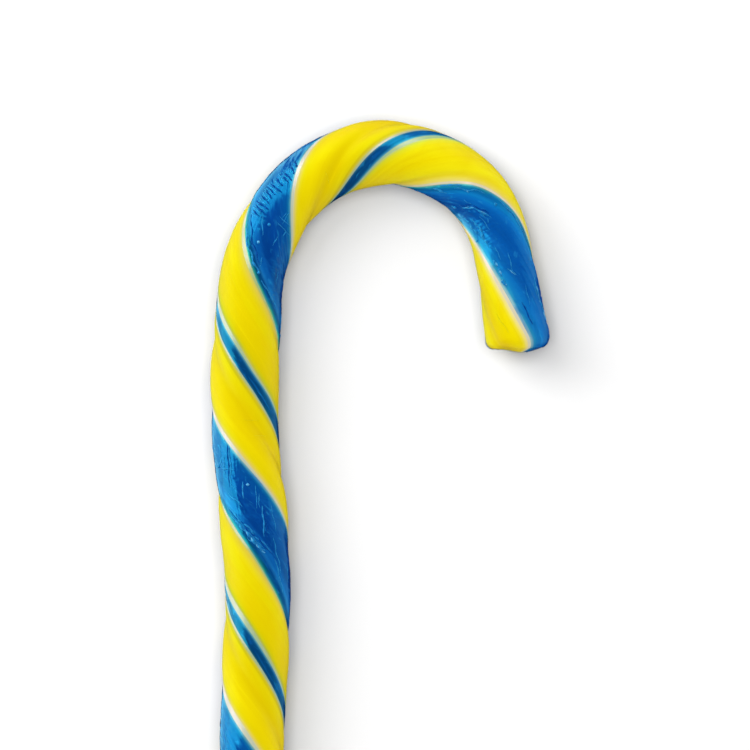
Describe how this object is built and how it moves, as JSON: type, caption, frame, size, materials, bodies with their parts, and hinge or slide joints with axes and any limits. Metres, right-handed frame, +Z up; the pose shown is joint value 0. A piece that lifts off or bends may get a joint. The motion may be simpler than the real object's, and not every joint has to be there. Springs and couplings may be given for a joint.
{
  "type": "candy cane",
  "caption": "Twisted pulled-sugar candy cane with a rounded hook, in yellow and blue strands with pale seams, lying on its side.",
  "frame": {"origin": "middle of the cane's box, on the surface that it lies on", "axes": "+Y from the straight end towards the hook's crown, +X from the shaft towards the hook's tip, +Z up out of the plane of the hook"},
  "size_m": [0.057, 0.15, 0.0115],
  "materials": {
    "yellow_sugar": "opaque pulled sugar, satin to glossy, with fine drawn lines",
    "blue_sugar": "slightly translucent glossy boiled sugar with wrinkles and scratches",
    "cream_sugar": "opaque cream pulled sugar, in thin seams between the strands"
  },
  "bodies": {
    "root": {"candy_cane": "yellow_sugar"}
  },
  "joints": []
}
